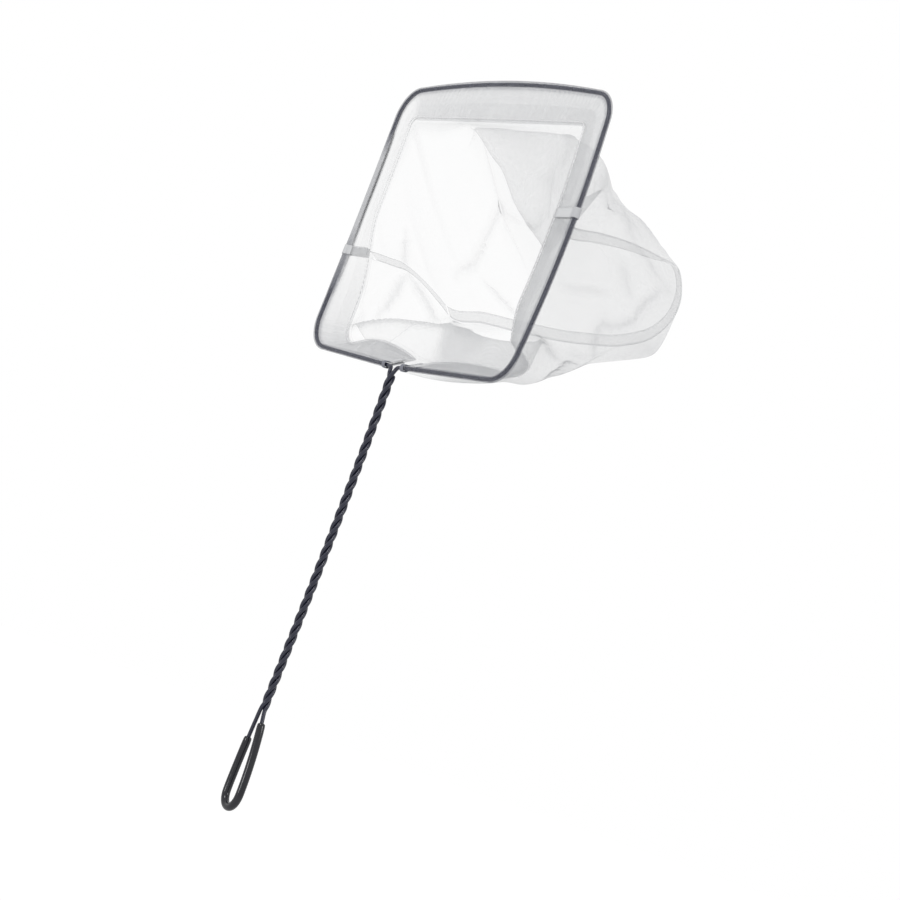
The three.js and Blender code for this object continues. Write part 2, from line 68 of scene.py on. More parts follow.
# %% Place the camera
TURN, TIP, ROLL = math.radians(58.23), math.radians(4.4), math.radians(21.14)
level_right = Vector((math.cos(TURN), math.sin(TURN), 0))
forward = Vector((-math.sin(TURN) * math.cos(TIP), math.cos(TURN) * math.cos(TIP), math.sin(TIP)))
level_up = level_right.cross(forward)
right = math.cos(ROLL) * level_right + math.sin(ROLL) * level_up
up = math.cos(ROLL) * level_up - math.sin(ROLL) * level_right

STAND = (1.38957, -0.80166, 0.11974)
bpy.ops.object.camera_add(location=(0, 0, 0))
camera = bpy.context.object
camera.data.lens = 100
aim = Matrix((right, up, -forward)).transposed().to_4x4()
camera.matrix_world = Matrix.Translation(STAND) @ aim
bpy.context.scene.camera = camera
print("camera", [round(v, 3) for v in camera.location])

# %% [markdown]
# ## The hoop's outline
# Hem, stitches and panels all follow the same wire, so one function gives any point beside it. A
# place counts along the hoop: 0 at the handle's root, left along the bottom, up the left side, over
# the top, down the right side and back to the root at 9. Odd runs are the four round corners.

# %% The hoop's outline
ROOT = np.array((-5.0, 0.0, 281.0))
HOOP_WIDTH, HOOP_HEIGHT, CORNER = 254.0, 190.0, 21.0
ROOT_OFFSET, ROOT_BEND, BOTTOM_DIP = 5.6, 6.0, 3.5
TOP_BOW, RIGHT_BOW, LEFT_BOW = 5.0, 5.0, -1.4
HEM_DEPTH, HEM_CORNER, BOTTOM_TILT = 22.0, 5.0, math.radians(62)
LIP_LIFT, RIGHT_LIFT_SHARE = math.radians(22), 0.4
LEFT_TILT_ENDS, RIGHT_TILT_ENDS, TILT_RAMP = 1.95, 1.6, 0.6
RUN_LENGTHS = (93, 33, 148, 33, 212, 33, 148, 33, 104)


def hem_tilt(place):
    """The bottom hem has tipped back under the bag's weight, and turns level up the sides."""
    on_left = place < 4.5
    from_root = place if on_left else 9 - place
    start = LEFT_TILT_ENDS if on_left else RIGHT_TILT_ENDS
    along = min(max((from_root - start) / TILT_RAMP, 0), 1)
    lifted = LIP_LIFT * math.sin(math.pi * min(from_root, 1)) * (1 if on_left else RIGHT_LIFT_SHARE)
    return BOTTOM_TILT * (1 - along * along * (3 - 2 * along)) - lifted


def hoop_point(place, across=0.0, behind=0.0):
    """A point of the row's frame in millimetres, across into the hoop from its wire and behind it."""
    tilt = hem_tilt(place)
    inset = across * math.cos(tilt) - behind * math.sin(tilt)
    back = across * math.sin(tilt) + behind * math.cos(tilt)
    radius = CORNER + (HEM_CORNER - CORNER) * inset / HEM_DEPTH
    left, wide = ROOT_OFFSET - HOOP_WIDTH / 2 + inset, ROOT_OFFSET + HOOP_WIDTH / 2 - inset
    low, high = BOTTOM_DIP + inset, BOTTOM_DIP + HOOP_HEIGHT - inset
    run = min(int(place), 8)
    s = place - run
    bow = 4 * s * (1 - s)

    def line(x0, z0, x1, z1):
        return x0 + (x1 - x0) * s, z0 + (z1 - z0) * s

    def arc(x, z, start):
        angle = math.radians(start) - s * math.pi / 2
        return x + radius * math.cos(angle), z + radius * math.sin(angle)

    if run == 0:
        x, z = line(-ROOT_BEND, inset, left + radius, low)
    elif run == 1:
        x, z = arc(left + radius, low + radius, -90)
    elif run == 2:
        x, z = line(left - LEFT_BOW * bow, low + radius, left - LEFT_BOW * bow, high - radius)
    elif run == 3:
        x, z = arc(left + radius, high - radius, 180)
    elif run == 4:
        lift = TOP_BOW * bow * (1 - min(inset / HEM_DEPTH, 1))
        x, z = line(left + radius, high + lift, wide - radius, high + lift)
    elif run == 5:
        x, z = arc(wide - radius, high - radius, 90)
    elif run == 6:
        x, z = line(wide + RIGHT_BOW * bow, high - radius, wide + RIGHT_BOW * bow, low + radius)
    elif run == 7:
        x, z = arc(wide - radius, low + radius, 0)
    else:
        x, z = line(wide - radius, low, ROOT_BEND, inset)
    return ROOT + (x, back, z)


def places_between(start, end, spacing):
    """Places from start to end, about that many millimetres apart along the wire."""
    places, place = [start], start
    while place < end - 1e-6:
        run = min(int(place + 1e-6), 8)
        stop = min(run + 1, end)
        count = max(1, round((stop - place) * RUN_LENGTHS[run] / spacing))
        places += list(np.linspace(place, stop, count + 1)[1:])
        place = stop
    return places


SIDE_RUN = HOOP_HEIGHT - 2 * CORNER
LEFT_SEAM_HEIGHT, RIGHT_SEAM_HEIGHT = 73.6, 114.6
LEFT_PLACE = 2 + (LEFT_SEAM_HEIGHT - BOTTOM_DIP - CORNER) / SIDE_RUN
RIGHT_PLACE = 7 - (RIGHT_SEAM_HEIGHT - BOTTOM_DIP - CORNER) / SIDE_RUN
print("side seams meet the hem at", round(LEFT_PLACE, 2), "and", round(RIGHT_PLACE, 2))

# %% [markdown]
# ## Cloth as a grid
# Every fabric piece starts as a grid primitive whose points are then laid on a surface. The UV map
# is written in metres of cloth, so a thread is as wide on a tab as on a panel. Each point also
# carries two numbers for the weave: how closely the threads lie there, and how much painted shade
# of the black wire is put into its colour.

# %% Helpers for cloth
def strip_lengths(points, axis):
    """How far along the cloth each point lies, measured along rows or columns."""
    steps = np.linalg.norm(np.diff(points, axis=axis), axis=2)
    pad = [(0, 0), (0, 0)]
    pad[axis] = (1, 0)
    return np.cumsum(np.pad(steps, pad), axis=axis)


def cloth_grid(name, points, gather=0.0, shade=0.0):
    """A sheet on a grid of points in millimetres: rows run down the cloth, columns along it.

    Gather says how much closer than flat its threads lie: 1 is twice as close, -0.5 stretched open.
    Shade says how much painted shade of a black wire pressed against it darkens it, from 0 to 1."""
    rows, columns = points.shape[:2]
    deselect()
    bpy.ops.mesh.primitive_grid_add(
        x_subdivisions=columns - 1, y_subdivisions=rows - 1, size=2, calc_uvs=True
    )
    piece = bpy.context.object
    piece.name = piece.data.name = name
    mesh = piece.data
    flat = np.array([v.co[:2] for v in mesh.vertices])
    j = np.rint((flat[:, 0] + 1) / 2 * (columns - 1)).astype(int)
    i = np.rint((flat[:, 1] + 1) / 2 * (rows - 1)).astype(int)
    mesh.vertices.foreach_set("co", (points[i, j] * MM).ravel())
    along, down = strip_lengths(points, 1).mean(axis=0), strip_lengths(points, 0)
    uv = np.stack([along[j], down[i, j]], axis=1) * MM
    corners = np.array([loop.vertex_index for loop in mesh.loops])
    mesh.uv_layers[0].data.foreach_set("uv", uv[corners].ravel())
    for label, values in (("gather", gather), ("shade", shade)):
        kept = mesh.attributes.new(label, "FLOAT", "POINT")
        kept.data.foreach_set("value", np.broadcast_to(values, (rows, columns))[i, j].ravel())
    mesh.update()
    bpy.ops.object.shade_smooth()
    return piece


def thicken(piece, thickness):
    work_on(piece)
    solidify = piece.modifiers.new("thickness", "SOLIDIFY")
    solidify.thickness, solidify.offset = thickness, 0
    bpy.ops.object.modifier_apply(modifier=solidify.name)


def cloth_size(points):
    """The flat size of a grid of points in metres: its greatest width, greatest length and area."""
    wide, deep = strip_lengths(points, 1)[:, -1], strip_lengths(points, 0)[-1]
    a, b = points[1:, 1:] - points[:-1, :-1], points[1:, :-1] - points[:-1, 1:]
    area = np.linalg.norm(np.cross(a, b), axis=2).sum() / 2
    return wide.max() * MM, deep.max() * MM, area * MM * MM


def declare_cloth(piece, points):
    width, length, area = cloth_size(points)
    area = min(area, width * length)
    print(piece.name, "is cut", round(width * 1000), "by", round(length * 1000), "mm")


def smoothstep(low, high, x):
    t = np.clip((x - low) / (high - low), 0, 1)
    return t * t * (3 - 2 * t)


# %% [markdown]
# ## The wire and its sleeve
# The CAD wire has eight sides. A copy is merged, its triangles are joined into quads, and a
# subdivision rounds it. Subdivision draws a tube in a little, so it is fattened back to its size.

# %% Round the wire and the sleeve
def rounded(name, node, swell, levels=2):
    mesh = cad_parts[node].data.copy()
    mesh.materials.clear()
    piece = bpy.data.objects.new(name, mesh)
    bpy.context.collection.objects.link(piece)
    work_on(piece)
    bpy.ops.object.mode_set(mode="EDIT")
    bpy.ops.mesh.select_all(action="SELECT")
    bpy.ops.mesh.remove_doubles(threshold=1e-6)
    bpy.ops.mesh.tris_convert_to_quads(
        face_threshold=math.radians(50), shape_threshold=math.radians(60)
    )
    bpy.ops.object.mode_set(mode="OBJECT")
    subdivision = piece.modifiers.new("round", "SUBSURF")
    subdivision.levels = subdivision.render_levels = levels
    bpy.ops.object.modifier_apply(modifier=subdivision.name)
    bpy.ops.object.mode_set(mode="EDIT")
    bpy.ops.mesh.select_all(action="SELECT")
    bpy.ops.transform.shrink_fatten(value=swell)
    bpy.ops.object.mode_set(mode="OBJECT")
    bpy.ops.object.shade_smooth()
    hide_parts(node)
    print(name, "has", len(piece.data.polygons), "faces")
    return piece


WIRE_SWELL, SLEEVE_SWELL = 0.2 * MM, 0.16 * MM
wire = rounded("wire", "frame_wire", WIRE_SWELL)
sleeve = rounded("sleeve", "grip_sleeve", SLEEVE_SWELL)

# %% [markdown]
# ## The hem
# The hem is a strip of the mesh folded round the wire, so its cross-section runs from the front lip
# round the wire to the back lip. The strip ripples a little where the needle has drawn it up. The
# cloth is gathered most at the handle and stretched open up the left side, so it is clearer there.
# Where it lies tight on the wire its colour is painted dark with the wire's shade, apart from the left
# side, where it hides the wire.

# %% The hem's cross-section
HEM_BEAD, HEM_BEAD_OPENING = 1.95, 0.62
HEM_LIP_START, HEM_LIP_HALF_GAP, HEM_LIP_SPREAD = 2.2, 0.62, 0.5


def folded_section(front, bead, opening, steps):
    """Across and behind, in millimetres, from the front lip's edge round the wire to the back's."""
    angles = np.linspace(opening, 2 * math.pi - opening, steps)
    around = [(bead * math.cos(angle), -bead * math.sin(angle)) for angle in angles]
    return front + around + [(across, -behind) for across, behind in reversed(front)]


def hem_section():
    front = [
        (across, -HEM_LIP_HALF_GAP - HEM_LIP_SPREAD * (1 - across / HEM_DEPTH) ** 2)
        for across in np.linspace(HEM_DEPTH, HEM_LIP_START, 12)
    ]
    return folded_section(front, HEM_BEAD, HEM_BEAD_OPENING, 15)


def ripple(place, across, side):
    """How far a lip waves off its plane, in millimetres, more towards its edge."""
    long_wave = noise.noise((place * 9.0, across * 0.06, side * 3.1))
    short_wave = noise.noise((place * 27.0, across * 0.1, side))
    return 0.45 * (long_wave + 0.5 * short_wave) * (max(across, 0) / HEM_DEPTH) ** 1.5


print("the hem's section has", len(hem_section()), "points")

# %% [markdown]
# ## Wrapping the hem
# The hem runs from the handle round the hoop and back, and the two side seams part it into three
# lengths. Each is a grid wrapped along its part of the hoop. How close the threads lie is given at
# places along the hoop, once for the lips and once for the casing round the wire.

# %% Wrap the hem
# Place along the hoop, then how much closer than flat the cloth lies there
HEM_GATHER = (
    (0, 2.1), (1, 1.5), (1.8, 0.3), (2.3, -0.5), (3.6, -0.4), (4.1, 0.6),
    (5, 0.8), (6, 0.8), (7, 1.1), (8, 1.9), (9, 2.6),
)
BEAD_GATHER = ((2.1, 0.9), (2.3, 6), (2.45, 14), (2.8, 14), (2.93, 0.9))
# Place along the hoop, then how much painted shade of the wire's black goes into the casing
BEAD_SHADE = ((2.1, 0.72), (2.3, 0.4), (2.45, 0.05), (2.8, 0.05), (2.93, 0.72))
BEAD_ENDS, BEAD_BLEND, SHADE_ENDS = 4.2, 1.5, 3


def along_hoop(stations, place):
    places, values = zip(*stations)
    return float(np.interp(place, places, values))


def wrapped_strip(name, places, section, wave=1.0, painted_shade_share=1.0):
    """A strip with that section along those places. Wave scales its ripple, painted_shade_share its painted
    shade.
    """
    lip = np.array([along_hoop(HEM_GATHER, place) for place in places])
    bead = np.array([along_hoop(BEAD_GATHER, place) for place in places])
    shade = np.array([along_hoop(BEAD_SHADE, place) for place in places])
    points, closeness, darkness = [], [], []
    for across, behind in section:
        side = math.copysign(1, behind)
        waves = [wave * ripple(place, across, side) for place in places]
        points.append([hoop_point(place, across, behind + out) for place, out in zip(places, waves)])
        near = min(max((BEAD_ENDS - across) / BEAD_BLEND, 0), 1)
        closeness.append(near * bead + (1 - near) * lip)
        # Painted shade of the wire, only on the cloth that lies against it
        darkness.append(shade * (0 if across > SHADE_ENDS else painted_shade_share))
    points = np.array(points)
    return cloth_grid(name, points, np.array(closeness), np.array(darkness)), points


# The hem stops this far from the handle's root, and one tack is as long
ROOT_GAP = 0.0396
HEMS = {
    "hem_lower_left": (ROOT_GAP, LEFT_PLACE - 0.001),
    "hem_upper": (LEFT_PLACE + 0.001, RIGHT_PLACE - 0.001),
    "hem_lower_right": (RIGHT_PLACE + 0.001, 9 - ROOT_GAP),
}
hems = []
for node, (start, end) in HEMS.items():
    name, places = node.replace("hem", "hem_cloth"), places_between(start, end, 2.5)
    hem, points = wrapped_strip(name, places, hem_section())
    declare_cloth(hem, points)
    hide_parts(node)
    hems.append(hem)
print("hem strips:", len(hems))

# %% [markdown]
# ## The bag's seam
# The two panels meet at one seam: from the left tab back to the bag's left corner, along its bottom
# and forward from the right corner to the right tab. The other shapes hang between it and the hem.

# %% The seam's route
def curve_through(knots, points, at, ease=1.0):
    """A smooth curve through points, one for each knot. A low ease makes it turn sharply at them."""
    knots, points, at = (np.asarray(values, float) for values in (knots, points, at))
    slopes = np.gradient(points, knots, axis=0, edge_order=1) * ease
    k = np.clip(np.searchsorted(knots, at, side="right") - 1, 0, len(knots) - 2)
    h = knots[k + 1] - knots[k]
    t = (at - knots[k]) / h
    shape = (-1,) + (1,) * (points.ndim - 1)
    t, h = t.reshape(shape), h.reshape(shape)
    return (
        (2 * t**3 - 3 * t**2 + 1) * points[k]
        + (t**3 - 2 * t**2 + t) * h * slopes[k]
        + (3 * t**2 - 2 * t**3) * points[k + 1]
        + (t**3 - t**2) * h * slopes[k + 1]
    )


PANEL_LINE = HEM_DEPTH + 1.6
# Across, back and up from the handle's root, in millimetres
SEAM_ROUTE = [
    (-101, 10, 72.3), (-111, 35, 76), (-110, 44, 77), (-109.5, 50, 76), (-109, 62, 72.3),
    (-107, 77, 65.7), (-105, 86, 61), (-70, 94, 61), (-20, 101, 60), (30, 107, 61),
    (70, 113, 66), (98, 114, 75), (117, 110, 90), (127, 101, 104), (130, 89, 116),
    (129.5, 73, 117), (129, 51, 116.5), (128, 27, 113), (126, 9, 109),
]
LEFT_CORNER, RIGHT_CORNER = 6, 14


def lengths_along(line):
    """How far along a line each of its points lies."""
    return np.concatenate([[0], np.cumsum(np.linalg.norm(np.diff(line, axis=0), axis=1))])


seam_knots = [*[ROOT + np.array(point) for point in SEAM_ROUTE], hoop_point(RIGHT_PLACE, PANEL_LINE)]
seam_lengths = lengths_along(seam_knots)
seam_lengths /= seam_lengths[-1]
COLUMNS = 220
share = np.linspace(0, 1, COLUMNS)
seam_line = curve_through(seam_lengths, seam_knots, share)
print("seam length", round(lengths_along(seam_line)[-1]), "mm")

# %% [markdown]
# ## The panels
# Each panel hangs from the hem to the seam. Its folds are real: where the mesh is slack it turns
# back on itself, and where it pulls it runs straight. So each panel is lofted through rows that lie
# on its folds. The folds were read from the photo one by one: a plain sag would miss them all. Both
# panels start tucked between the hem's lips.

# %% Hang plain rows from the hem
ROWS, FOLD_EASE = 84, 0.45
TUCK_STEPS = (0, 0.35, 0.7)
LEAD_IN, LEAD_OUT = 0.12, 0.1


def hem_columns(places):
    """The panel's edge at even steps along the hem, and the same edge tucked between the lips."""
    line = np.array([hoop_point(place, PANEL_LINE) for place in places])
    tucked = np.array([hoop_point(place, HEM_DEPTH / 2) for place in places])
    lengths = lengths_along(line)
    index = np.interp(np.linspace(0, lengths[-1], COLUMNS), lengths, np.arange(len(line)))
    low = np.minimum(index.astype(int), len(places) - 2)
    part = (index - low)[:, None]
    return [values[low] * (1 - part) + values[low + 1] * part for values in (line, tucked)]


def row_between(line, lies, drop=0.0):
    """A row part of the way from the hem to the seam, let down by its slack."""
    row = line + (seam_line - line) * lies
    row[:, 2] -= drop * np.sin(np.pi * share)
    return row


def fold_row(base, stations):
    """A row laid along a fold between its first and last stations, and on the plain row outside them."""
    at = np.array([station[0] for station in stations])
    points = [ROOT + np.array(station[1:]) for station in stations]
    leads_in = smoothstep(at[0] - LEAD_IN, at[0], share)
    leads_out = smoothstep(at[-1], at[-1] + LEAD_OUT, share)
    route = curve_through(at, points, np.clip(share, at[0], at[-1]))
    return base + (route - base) * (leads_in * (1 - leads_out))[:, None]


def lofted(depths_and_rows, tuck):
    """The panel's grid: its tucked edge, then the surface through its rows."""
    depths, rows = zip(*depths_and_rows)
    body = curve_through(depths, np.stack(rows), np.linspace(0, 1, ROWS), FOLD_EASE)
    edge = np.stack([tuck + (rows[0] - tuck) * step for step in TUCK_STEPS])
    return np.concatenate([edge, body])


upper_line, upper_tuck = hem_columns(places_between(LEFT_PLACE, RIGHT_PLACE, 2.0))
lower_line, lower_tuck = hem_columns(
    places_between(0, LEFT_PLACE, 2.0)[::-1] + places_between(RIGHT_PLACE, 9, 2.0)[::-1]
)
print("hem edges:", *[round(lengths_along(line)[-1]) for line in (upper_line, lower_line)], "mm")

# %% [markdown]
# ## The upper panel
# Slack mesh hangs from the top hem's right half as a swag: a flat pleat that runs forward over the
# rest of the panel. It has an edge, a top and a back row, and one more row that holds its right side
# out. Each fold is a list of stations: a share of the panel's width, then across, back and up in
# millimetres from the handle's root. Outside its stations the row lies as plain cloth would.

# %% Lay the upper panel through its folds
SWAG_EDGE = [
    (0.46, -27, 6, 169), (0.50, -17, 10, 162), (0.54, -5, 14, 153), (0.58, 6, 18, 146),
    (0.62, 15, 21, 137), (0.66, 24, 23, 128), (0.71, 45, 25, 114), (0.78, 70, 25, 102),
    (0.85, 88, 22, 94), (0.9, 103, 16, 100),
]
SWAG_TOP = [
    (0.46, -27, 11, 170), (0.49, -8, 13, 172), (0.52, 14, 17, 173), (0.56, 38, 20, 174),
    (0.60, 57, 22, 173.5), (0.66, 79, 24, 169.5), (0.72, 97, 25, 163), (0.78, 109, 26, 155),
    (0.84, 116, 27, 145), (0.9, 117, 25, 139),
]
SWAG_SIDE = [
    (0.66, 84, 34, 158), (0.72, 101, 36, 150), (0.78, 111, 37, 143), (0.84, 117, 35, 136),
    (0.9, 119, 31, 130),
]
SWAG_BACK = [
    (0.46, -20, 50, 122), (0.54, 14, 58, 125), (0.62, 50, 62, 124), (0.70, 90, 62, 124),
    (0.78, 120, 60, 131), (0.84, 123, 51, 131), (0.9, 124, 38, 128),
]
swag_edge = fold_row(row_between(upper_line, lies=0.16, drop=5), SWAG_EDGE)
swag_top = fold_row(row_between(upper_line, lies=0.34, drop=10), SWAG_TOP)
swag_back = fold_row(row_between(upper_line, lies=0.66, drop=11), SWAG_BACK)
swag_side = fold_row(0.6 * swag_top + 0.4 * swag_back, SWAG_SIDE)
# Each row comes at its depth, from 0 at the hem to 1 at the seam
upper_rows = [
    (0, upper_line), (0.22, swag_edge), (0.44, swag_top), (0.56, swag_side), (0.74, swag_back),
    (1, seam_line),
]
upper_grid = lofted(upper_rows, upper_tuck)
print("upper panel:", upper_grid.shape[:2], "points")

# %% [markdown]
# ## The lower panel
# The lower panel first rises to a ridge inside the mouth, then drops into the belly and climbs
# behind it to the seam. One more row between the two keeps the right end of the belly full.

# %% Lay the lower panel through its folds
RIDGE = [
    (0.16, -108, 21, 27), (0.20, -94, 21.5, 31), (0.24, -73, 22, 34.5), (0.33, -38, 24, 37),
    (0.42, -1.5, 25, 38), (0.48, 19, 26, 37.6), (0.55, 47, 27, 36), (0.62, 71, 28, 36),
    (0.71, 105, 30, 39.8),
]
BELLY = [
    (0.20, -88, 30, 9), (0.30, -50, 28, 4), (0.37, -33, 28, 3), (0.44, -6, 30, 2.5), (0.50, 19, 33, 4),
    (0.57, 52, 36, 8), (0.62, 68, 39, 12), (0.68, 95, 38, 13), (0.72, 104, 43, 19), (0.77, 114, 54, 31),
    (0.82, 119, 60, 42),
]
BELLY_BACK = [
    (0.20, -100, 58, 42), (0.30, -60, 62, 34), (0.40, -20, 66, 34), (0.50, 25, 72, 38),
    (0.60, 75, 84, 46), (0.66, 108, 100, 56), (0.70, 122, 100, 60), (0.76, 126, 86, 64), (0.82, 126, 76, 72),
]
BELLY_MIDDLE = [(0.60, 72, 64, 33), (0.66, 97, 70, 39), (0.70, 110, 72, 44), (0.76, 119, 70, 51)]
ridge = fold_row(row_between(lower_line, lies=0.12), RIDGE)
belly = fold_row(row_between(lower_line, lies=0.36, drop=4), BELLY)
belly_back = fold_row(row_between(lower_line, lies=0.66, drop=6), BELLY_BACK)
belly_middle = fold_row((belly + belly_back) / 2, BELLY_MIDDLE)
lower_rows = [
    (0, lower_line), (0.16, ridge), (0.36, belly), (0.53, belly_middle), (0.7, belly_back), (1, seam_line),
]
lower_grid = lofted(lower_rows, lower_tuck)
print("lower panel:", lower_grid.shape[:2], "points")

# %% [markdown]
# ## Creases
# Real mesh is never as smooth as a lofted surface: short creases run between the big folds. Each one
# is pressed in as a low ridge along a curve. This is all done in code. No cloth solver is run, so the
# sheet keeps exactly the folds that were laid, but it has no wrinkles of its own either.

# %% Press creases into the panels
def creased(grid, spots, height, width):
    """A ridge pressed into the panel through spots, each a share along it and a share down it.

    Also gives how strongly each point belongs to the crease, from 0 to 1."""
    rows, columns = grid.shape[:2]
    spots = np.array(spots)
    steps = np.linspace(0, 1, 60)
    knots = np.linspace(0, 1, len(spots))
    along, down = (curve_through(knots, spots[:, k], steps, 0.8) for k in (0, 1))
    line = grid[np.rint(down * (rows - 1)).astype(int), np.rint(along * (columns - 1)).astype(int)]
    reach = np.full((rows, columns), 1e9)
    ends = np.zeros((rows, columns))
    for point, taper in zip(line, np.sin(np.pi * np.clip(steps, 0.08, 0.92))):
        near = np.linalg.norm(grid - point, axis=2)
        ends = np.where(near < reach, min(1, 1.6 * taper), ends)
        reach = np.minimum(reach, near)
    mark = np.exp(-((reach / width) ** 2)) * ends
    out = np.cross(np.gradient(grid, axis=1), np.gradient(grid, axis=0))
    out /= np.maximum(np.linalg.norm(out, axis=2, keepdims=True), 1e-9)
    return grid + out * (height * mark)[..., None], mark


# Spots, then the ridge's height and width in millimetres
UPPER_CREASES = (
    ([(0.146, 0.5), (0.11, 0.72), (0.09, 0.9)], 0.9, 2.0),
    ([(0.785, 0.09), (0.78, 0.14), (0.80, 0.18)], 2.0, 2.4),
    ([(0.60, 0.47), (0.64, 0.42), (0.70, 0.36)], 2.0, 2.6),
    ([(0.658, 0.34), (0.69, 0.35), (0.72, 0.35)], 1.6, 2.0),
    ([(0.70, 0.24), (0.745, 0.22), (0.785, 0.17)], 1.8, 2.2),
    ([(0.484, 0.74), (0.379, 0.64), (0.251, 0.8)], 1.8, 2.4),
    ([(0.333, 0.8), (0.35, 0.86), (0.365, 0.92)], 1.6, 2.2),
    ([(0.51, 0.88), (0.56, 0.88), (0.612, 0.88)], 1.8, 2.4),
    ([(0.68, 0.84), (0.66, 0.87), (0.648, 0.9)], 1.8, 2.4),
    ([(0.75, 0.62), (0.73, 0.78), (0.72, 0.94)], 2.0, 2.6),
    ([(0.86, 0.5), (0.82, 0.72), (0.80, 0.93)], 1.8, 2.4),
    ([(0.93, 0.4), (0.88, 0.7), (0.84, 0.94)], 1.6, 2.2),
)
LOWER_CREASES = (
    ([(0.10, 0.22), (0.16, 0.19), (0.24, 0.19), (0.33, 0.19), (0.42, 0.19), (0.50, 0.19)], 1.2, 2.8),
    ([(0.42, 0.19), (0.45, 0.12), (0.50, 0.06)], 1.6, 4.0),
    ([(0.085, 0.95), (0.10, 0.65), (0.114, 0.36)], 1.8, 2.4),
    ([(0.09, 0.94), (0.15, 0.9), (0.219, 0.86)], 1.8, 2.4),
    ([(0.20, 0.95), (0.25, 0.88), (0.292, 0.84)], 2.2, 2.6),
    ([(0.616, 0.59), (0.66, 0.5), (0.71, 0.42)], 2.0, 2.6),
    ([(0.80, 0.33), (0.854, 0.51), (0.813, 0.8), (0.776, 0.91)], 2.4, 2.6),
    ([(0.708, 0.12), (0.74, 0.22), (0.767, 0.31)], 2.2, 2.4),
    ([(0.594, 0.66), (0.65, 0.5), (0.72, 0.42)], 1.8, 2.6),
    ([(0.42, 0.18), (0.47, 0.2), (0.53, 0.16)], 1.6, 3.0),
    ([(0.785, 0.09), (0.78, 0.2), (0.79, 0.28)], 2.0, 2.4),
)


def press(grid, creases):
    marks = np.zeros(grid.shape[:2])
    for spots, height, width in creases:
        grid, mark = creased(grid, spots, height, width)
        marks = np.maximum(marks, mark)
    return grid, marks


upper_grid, upper_marks = press(upper_grid, UPPER_CREASES)
lower_grid, lower_marks = press(lower_grid, LOWER_CREASES)
print("creases:", len(UPPER_CREASES) + len(LOWER_CREASES))

# %% [markdown]
# ## Where the mesh looks dense
# Sheer cloth shows its folds by tone: threads that lie closer let less light through. The mesh lies
# closer at a crease, where it turns sharply, and where it is bunched in a corner. It is drawn open on
# the left half and crowded towards the right, where the bag has been pushed together.

# %% Find how closely the threads lie
BEND_CLOSENESS = 4
# Share of the panel's width, then how much closer than flat the cloth lies there
UPPER_SPREAD = ((0, -0.55), (0.4, -0.5), (0.5, 0.2), (0.72, 0.4), (0.85, 1.0), (1, 1.0))
LOWER_SPREAD = ((0, -0.5), (0.3, -0.5), (0.42, -0.3), (0.5, 0.8), (0.6, 0.8), (0.75, 1.0), (1, 0.9))
# Middle of each bunch as shares of the width and depth, its reach along both, how close it lies
UPPER_BUNCHES = ((0.5, 0.06, 0.26, 0.04, 2.0), (0.83, 0.46, 0.06, 0.12, 1.7))
LOWER_BUNCHES = (
    (0.52, 0.12, 0.045, 0.12, 3.8), (0.64, 0.1, 0.07, 0.1, 2.2), (0.54, 0.42, 0.07, 0.05, 1.8),
    (0.735, 0.72, 0.04, 0.08, 1.3), (0.27, 0.95, 0.05, 0.08, 1.6), (0.455, 0.2, 0.03, 0.15, 1.3),
)


def bend(grid):
    """How sharply the cloth turns at each point, in radians a millimetre."""
    along, down = np.gradient(grid, axis=1), np.gradient(grid, axis=0)
    out = np.cross(along, down)
    out /= np.maximum(np.linalg.norm(out, axis=2, keepdims=True), 1e-9)
    turns = [
        np.linalg.norm(np.gradient(out, axis=axis), axis=2) / np.maximum(np.linalg.norm(step, axis=2), 0.3)
        for axis, step in ((1, along), (0, down))
    ]
    return np.maximum(*turns)


def panel_gather(grid, marks, crease_closeness, bunches, spread):
    """How much closer than flat the threads lie at each point of the panel."""
    depth = np.linspace(0, 1, len(grid))[:, None]
    gather = crease_closeness * marks + np.interp(share, *zip(*spread))
    for middle, down, wide, deep, strength in bunches:
        gather += strength * np.exp(-(((share - middle) / wide) ** 2) - ((depth - down) / deep) ** 2)
    return gather + np.minimum(bend(grid) * BEND_CLOSENESS, 1.0)


upper_gather = panel_gather(upper_grid, upper_marks, 1.1, UPPER_BUNCHES, UPPER_SPREAD)
lower_gather = panel_gather(lower_grid, lower_marks, 1.6, LOWER_BUNCHES, LOWER_SPREAD)
print("closest threads:", round(upper_gather.max(), 1), "and", round(lower_gather.max(), 1))

# %% [markdown]
# ## Sewing the panels in
# On the real net the hem is sewn over the panels' edges, so both panels share their first rows with
# the hem's inside and their last row with the seam.

# %% Sew the panels in
panels = []
for node, grid, gather in (
    ("bag_upper_panel", upper_grid, upper_gather),
    ("bag_lower_panel", lower_grid, lower_gather),
):
    panel = cloth_grid(node.replace("panel", "mesh"), grid, gather)
    declare_cloth(panel, grid)
    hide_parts(node)
    panels.append(panel)
print("panels:", [len(panel.data.vertices) for panel in panels])

# %% [markdown]
# ## The seam's allowance
# Both edges of the mesh are left standing inside the bag, and show through it as a narrow band with
# a paler free edge. The two edges are folded flat together, and they lean another way on each side
# of the bag. So the strip is a doubled grid that stands out from the seam, with a slight wander.

# %% Make the allowance
ALLOWANCE, WANDER = 8.0, 0.18
NEAR_LAYER, FAR_LAYER = 0.35, 0.75
FREE_EDGE_GATHER, SEAM_EDGE_GATHER = 0.9, 2.2
LEFT_SHARE, RIGHT_SHARE = seam_lengths[LEFT_CORNER], seam_lengths[RIGHT_CORNER]
